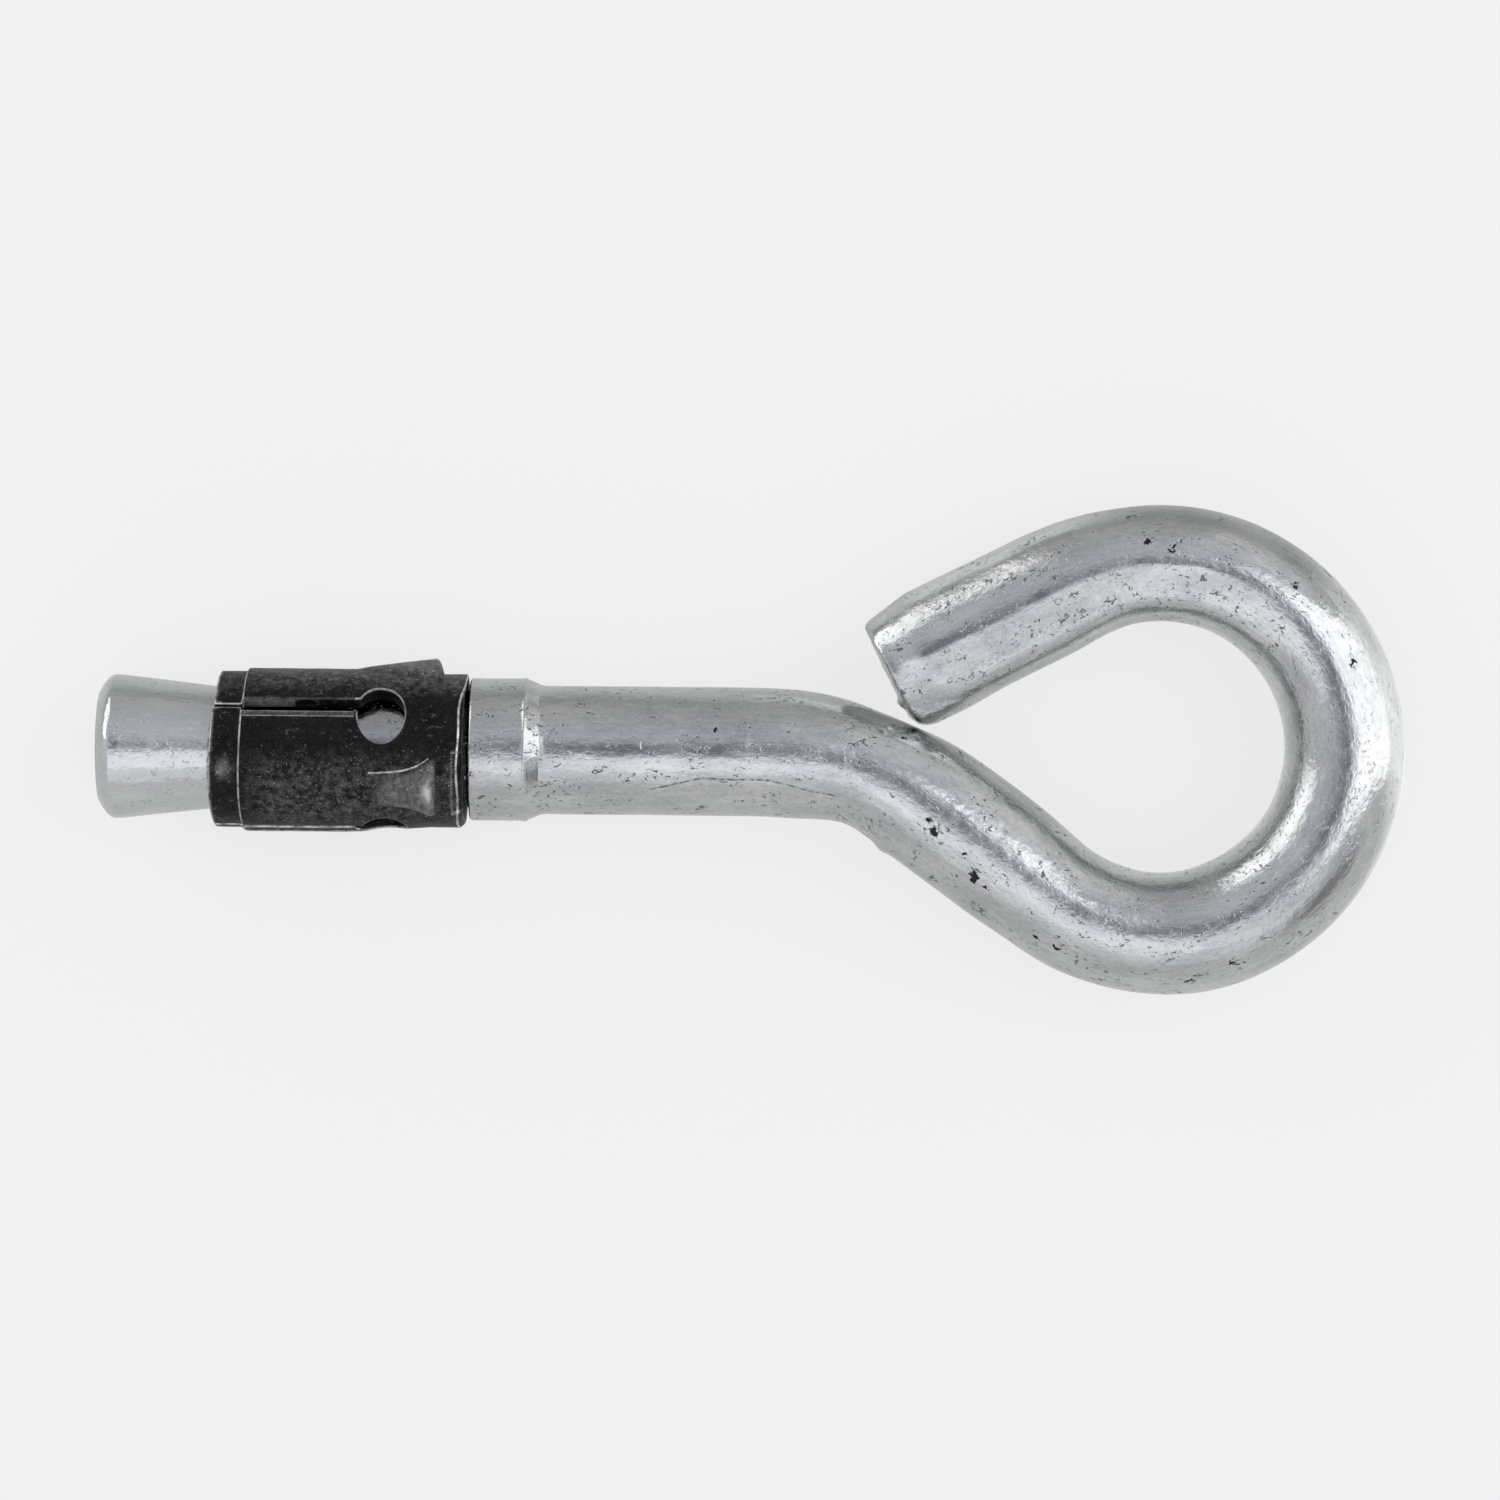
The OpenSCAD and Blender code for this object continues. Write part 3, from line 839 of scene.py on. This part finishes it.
def inside_rows(loop, step):
    """Points of an offset grid inside the loop."""
    nxt = np.roll(loop, -1, axis=0)
    rows = np.arange(loop[:, 1].min() + step / 2, loop[:, 1].max(), step * 0.866)
    points = []
    for n, row in enumerate(rows):
        cross = (loop[:, 1] > row) != (nxt[:, 1] > row)
        a, b = loop[cross], nxt[cross]
        hits = np.sort(a[:, 0] + (row - a[:, 1]) / (b[:, 1] - a[:, 1]) * (b[:, 0] - a[:, 0]))
        us = np.arange((n % 2) * step / 2, CLIP_LEN, step)
        keep = np.searchsorted(hits, us) % 2 == 1
        points += [(u, row) for u in us[keep]]
    return np.array(points)


def nearest_on(loop):
    """A search tree of the loop's points."""
    tree = kdtree.KDTree(len(loop))
    for i, p in enumerate(loop):
        tree.insert((p[0], p[1], 0.0), i)
    tree.balance()
    return tree


def distances(tree, points):
    return np.array([tree.find((p[0], p[1], 0.0))[2] for p in points])


def flat_mesh(loop, tree):
    """Points and triangles of the flat sheet inside its outline, and the numbers of the outline's points."""
    ahead = np.roll(loop, -1, axis=0) - np.roll(loop, 1, axis=0)
    inward = np.stack([-ahead[:, 1], ahead[:, 0]], axis=1) / np.linalg.norm(ahead, axis=1)[:, None]
    layers = [loop]
    for depth in EDGE_ROWS:
        row = loop + inward * depth
        layers.append(row[distances(tree, row) > depth * 0.93])
    grid = inside_rows(loop, SHEET_STEP)
    layers.append(grid[distances(tree, grid) > SHEET_GAP])
    corners = [Vector(p) for p in np.concatenate(layers)]
    made = delaunay_2d_cdt(corners, [], [list(range(len(loop)))], 1, 1e-6)
    points = np.array([(v.x, v.y) for v in made[0]])
    triangles = [tuple(f) for f in made[2]]
    place = {old: new for new, olds in enumerate(made[3]) for old in olds}
    return points, triangles, [place[i] for i in range(len(loop))]


def worn_places(u, w, edge):
    """How bare and how scuffed the outer face is, with a painted sheen toward the back, and its distances
    from the rim, bevel and rib lines.
    """
    angle = from_petal(w)[0]
    degrees = np.degrees(round_angle(w))
    to_slot = below_slot(w)
    on_strip = (u > LIP_LEN) & (u < STRIP_END)
    past_rim = u - rim_edge(degrees)
    outside = 1.0 - smooth(past_rim, 0.03, 0.07)
    height = bump_height(u, w) / BUMP_RISE
    from_bump = angle - BUMP_TURN

    # Bare along cut edges, the band's step and the tops of the bumps, less so at one slot and at the holes;
    # at each bump's top the bare patch is shifted up, partly wear and partly a painted highlight
    worn = np.clip(1.15 - edge / np.where(u < 0.3, 0.08, 0.05), 0.0, 1.0)
    worn = worn * np.where(on_strip & (w > 0.0) & (to_slot > 1.0), 0.15, 1.0)
    worn = worn * np.where((u > HOLE_U - HOLE_A) & (u < HOLE_U + HOLE_A + 0.2), 0.6, 1.0)
    step = band_step(u, degrees)
    worn = np.maximum(worn, 3.6 * step * (1.0 - step))
    worn = worn * (0.12 + 0.88 * outside)
    # Bare bump tops shifted up toward the light: partly wear, partly a painted highlight
    worn = np.maximum(worn, TOP_BARE_AND_HIGHLIGHT * smooth(height + 0.25 * from_bump, 0.86, 1.0))

    # Scuffed on the front of each petal, at a knock on the lip, on the bumps and the bevels; toward the back
    # a painted sheen where the upper faces catch the light
    front = smooth(angle, -0.9, -0.35) * (1.0 - smooth(angle, 0.0, 0.55)) * smooth(u, 1.0, 2.4)
    along = (u - KNOCK_PLACE[0]) / KNOCK_SIZE[0]
    aside = (w - KNOCK_PLACE[1]) / KNOCK_SIZE[1]
    scuff_and_sheen = BASE_SCUFF + FRONT_SCUFF * front + KNOCK * np.exp(-along ** 2 - aside ** 2)
    # Toward the back a painted sheen is added to the scuff
    scuff_and_sheen = scuff_and_sheen + PAINTED_BACK_SHEEN * smooth(degrees, 38.0, 60.0) + BUMP_SCUFF * smooth(height, 0.10, 0.70)
    scuff_and_sheen = np.maximum(scuff_and_sheen * outside, STRIP_SCUFF * on_strip * (to_slot < SLOT_HALF + STRIP_W))

    rib = (from_bump - bump_width(bump_grow(u))) * CLIP_R + 0.03
    lines = np.stack([past_rim, np.where(on_strip, to_slot - SLOT_HALF - STRIP_W, FAR),
                      np.where((u > 6.3) & (u < BUMP_TOP), rib, FAR)], axis=1)
    return worn, scuff_and_sheen, lines


def build_clip():
    loop = evenly(evenly(sheet_outline(), EDGE_STEP), EDGE_STEP)
    count = len(loop)
    tree = nearest_on(loop)
    points, triangles, border = flat_mesh(loop, tree)
    n = len(points)
    u, w = points[:, 0], points[:, 1]
    edge = distances(tree, points)
    rough = ROUGHNESS * ripple(np.stack([u * 1.3, w * 1.3, w * 0.0], axis=1), 2.0)
    r_out = sheet_radius(u, w, edge) + rough
    r_in = sheet_radius(u, w, np.ones_like(edge)) - SHEET_T + rough + LIP_STEP * lip_share(u)

    # Outer face, inner face and the rows of points through the cut edge
    u_cut, w_cut, out_cut, in_cut = u[border], w[border], r_out[border], r_in[border]
    walls = [rolled(u_cut, w_cut, out_cut + (in_cut - out_cut) * share) for share in WALL_SHARES]
    verts = np.concatenate([rolled(u, w, r_out), rolled(u, w, r_in)] + walls)
    faces = triangles + [(c + n, b + n, a + n) for a, b, c in triangles]
    rows = [border]
    for i in range(len(WALL_SHARES)):
        rows.append(list(range(2 * n + i * count, 2 * n + (i + 1) * count)))
    rows.append([i + n for i in border])
    for near, far in zip(rows[:-1], rows[1:]):
        for i in range(count):
            j = (i + 1) % count
            faces.append((near[j], near[i], far[i], far[j]))

    # Finish: worn outside, plain inside, and bare where a slot was sheared
    worn, scuff_and_sheen, lines = worn_places(u, w, edge)
    sheared = (u_cut > LIP_LEN) & (u_cut < SHEARED_TO) & (below_slot(w_cut) > 1.0)
    cut_rows = len(WALL_SHARES)
    wear = np.concatenate([worn, np.zeros(n)] + [np.where(sheared, SHEARED_BARE, 0.0)] * cut_rows)
    scuffs_and_sheen = np.concatenate([scuff_and_sheen, np.zeros(n)] + [np.where(sheared, SHEARED_SCUFF, 0.0)] * cut_rows)
    no_lines = np.full((n + cut_rows * count, 3), FAR)
    sheet = [np.stack([u, w, r_out], axis=1), np.stack([u, w, r_in], axis=1)]
    sheet += [np.stack([u_cut, w_cut, out_cut - SHEET_T * share], axis=1) for share in WALL_SHARES]
    piece = mesh_piece("expansion_clip_sheet", verts, faces, black_material(),
                       floats={"wear": wear, "scuff_and_sheen": scuffs_and_sheen},
                       vectors={"sheet": np.concatenate(sheet), "lines": np.concatenate([lines, no_lines])})
    piece.data.set_sharp_from_angle(angle=SHARP_ANGLE)
    return piece


bolt = build_bolt()
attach(bolt, "bolt")
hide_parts("eye_bolt")

clip = build_clip()
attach(clip, "clip")
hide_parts("expansion_clip")


# Floor: a pale sheet under the anchor that keeps its shadow
FLOOR_Z = -3.46
FLOOR_HALF = 900.0
PALE = (0.888, 0.888, 0.888, 1.0)
PALE_IN_METAL = (0.876, 0.896, 0.866, 1.0)
# Share of the floor's own glow that the camera sees, and that metal sees
GLOW_DIRECT = 0.84
GLOW_BOUNCED = 0.75
# Strength of the glow in metal, and how it changes over the floor, in metres
GLOW_LEVEL = 0.75
RIGHT_SLANT = 0.9
RIGHT_FADE = (0.040, 0.060)
RIGHT_GLOW = 1.1
FRONT_FADE = (-0.008, -0.001)
FRONT_SHARE = 0.1
BACK_FADE = (0.007, 0.020)
BACK_DARK = 0.38
# A patch of floor by the eye's end that glows brighter in metal only: a painted reflection
GLOW_PATCH_PLACE = (0.032, 0.018, FLOOR_Z * MM)
GLOW_PATCH_FADE = (0.004, 0.011)
GLOW_PATCH_LEVEL = 0.6


def floor_material():
    material, tree = new_material("pale_floor")
    rays = add_node(tree, "ShaderNodeLightPath").outputs
    direct = rays["Is Camera Ray"]
    bounced = most(tree, rays["Is Glossy Ray"], rays["Is Transmission Ray"])
    share = most(tree, times(tree, direct, GLOW_DIRECT), times(tree, bounced, GLOW_BOUNCED))
    # Painted reflection: in metal the floor is brighter to the right, under the softbox, and on a glowing
    # patch by the eye's end, and darker behind
    place = add_node(tree, "ShaderNodeNewGeometry").outputs["Position"]
    parts = parts_of(tree, place)
    aside = less(tree, parts["X"], times(tree, parts["Y"], RIGHT_SLANT))
    right = times(tree, ranged(tree, aside, *RIGHT_FADE, 0.0, RIGHT_GLOW),
                  ranged(tree, parts["Y"], *FRONT_FADE, FRONT_SHARE, 1.0))
    back = ranged(tree, parts["Y"], *BACK_FADE, 0.0, BACK_DARK)
    # Painted reflection: a glowing patch of floor by the eye's end, seen only in metal
    glow_patch = ranged(tree, apart(tree, place, GLOW_PATCH_PLACE), *GLOW_PATCH_FADE, GLOW_PATCH_LEVEL, 0.0)
    in_metal = less(tree, plus(tree, plus(tree, GLOW_LEVEL, glow_patch), right), back)
    strength = plus(tree, direct, times(tree, less(tree, 1.0, direct), in_metal))
    tint = mixed(tree, direct, PALE_IN_METAL, PALE)
    diffuse = add_node(tree, "ShaderNodeBsdfDiffuse", {"Color": PALE})
    glow = add_node(tree, "ShaderNodeEmission", {"Color": tint, "Strength": strength})
    surface = add_node(tree, "ShaderNodeMixShader", {0: share, 1: diffuse.outputs[0], 2: glow.outputs[0]})
    add_node(tree, "ShaderNodeOutputMaterial", {"Surface": surface.outputs[0]})
    return material


def build_floor():
    low, high = -FLOOR_HALF, FLOOR_HALF
    corners = [(low, low, FLOOR_Z), (high, low, FLOOR_Z), (high, high, FLOOR_Z), (low, high, FLOOR_Z)]
    floor = mesh_piece("floor", corners, [(0, 1, 2, 3)], floor_material())


# Light: a grey studio with softboxes to the right and left, two strips in front and a weak fill behind
AIM = Vector((26.0 * MM, 0.0, 0.0))
LAMP_DISTANCE = 0.42
# Name, azimuth from X and tilt from the zenith in degrees, width and height in metres, and radiance
LAMPS = [
    ("softbox_right", 13.0, 57.0, 0.31, 0.68, 1.15),
    ("softbox_left", 141.0, 75.0, 0.46, 0.31, 1.15),
    ("strip_front", -88.0, 24.0, 0.56, 0.21, 0.55),
    ("strip_low", -90.0, 48.0, 0.62, 0.17, 0.22),
    ("fill_back", 58.0, 60.0, 0.20, 0.30, 0.22),
]
STUDIO_LEVEL = 0.75
STUDIO_WHITE = (1.0, 1.0, 1.0, 1.0)
STUDIO_COOL = (0.955, 0.970, 1.085, 1.0)
# How far up the studio turns cool, and how far back it turns darker, as parts of a direction
COOL_FADE = (0.4, 0.95)
BEHIND_FADE = (0.35, 0.95)
BEHIND_DARK = 0.19
# Dark places of the studio: direction, degrees at which each ends and within which it is full, and depth
OVERHEAD = ((-0.130, 0.075, 0.989), 24.0, 9.0, 0.17)
LENS_SPOT = ((-0.035, 0.060, 0.9976), 11.0, 3.0, 0.33)
CORNER_LOW = ((0.720, -0.562, 0.407), 17.0, 7.0, 0.42)
CORNER_HIGH = ((0.394, -0.308, 0.866), 15.0, 5.0, 0.42)


def softbox(name, azimuth, tilt, width, height, radiance):
    """A softbox that faces the anchor, with its centre at that azimuth from X and tilt from the zenith."""
    lamp = bpy.data.lights.new(name, "AREA")
    lamp.shape = "RECTANGLE"
    lamp.size = width
    lamp.size_y = height
    lamp.energy = radiance * math.pi * width * height
    made = bpy.data.objects.new(name, lamp)
    a, t = math.radians(azimuth), math.radians(tilt)
    toward = Vector((math.sin(t) * math.cos(a), math.sin(t) * math.sin(a), math.cos(t)))
    made.location = AIM + toward * LAMP_DISTANCE
    made.rotation_euler = toward.to_track_quat("Z", "Y").to_euler()
    made.visible_camera = False
    scene.collection.objects.link(made)


def dark_spot(tree, direction, centre, outer, inner, depth):
    """How much darker the studio is round a direction: depth within inner degrees, nothing past outer."""
    made = add_node(tree, "ShaderNodeVectorMath", {0: direction, 1: centre}, operation="DOT_PRODUCT")
    far, near = math.cos(math.radians(outer)), math.cos(math.radians(inner))
    return ranged(tree, made.outputs["Value"], far, near, 0.0, depth)


def build_light():
    for lamp in LAMPS:
        softbox(*lamp)
    world = bpy.data.worlds.new("studio")
    world.use_nodes = True
    tree = world.node_tree
    tree.nodes.clear()
    direction = add_node(tree, "ShaderNodeTexCoord").outputs["Generated"]
    parts = parts_of(tree, direction)
    behind = ranged(tree, parts["Y"], *BEHIND_FADE, 0.0, BEHIND_DARK)
    zenith = plus(tree, dark_spot(tree, direction, *OVERHEAD), dark_spot(tree, direction, *LENS_SPOT))
    corner = most(tree, dark_spot(tree, direction, *CORNER_LOW), dark_spot(tree, direction, *CORNER_HIGH))
    level = less(tree, less(tree, STUDIO_LEVEL, zenith), plus(tree, behind, corner))
    tint = mixed(tree, ranged(tree, parts["Z"], *COOL_FADE), STUDIO_WHITE, STUDIO_COOL)
    studio = add_node(tree, "ShaderNodeBackground", {"Color": tint, "Strength": level})
    pale = add_node(tree, "ShaderNodeBackground", {"Color": PALE, "Strength": 1.0})
    rays = add_node(tree, "ShaderNodeLightPath").outputs
    shown = add_node(tree, "ShaderNodeMixShader", {0: rays["Is Camera Ray"], 1: studio.outputs[0],
                                                   2: pale.outputs[0]})
    add_node(tree, "ShaderNodeOutputWorld", {"Surface": shown.outputs[0]})
    scene.world = world


build_floor()
build_light()
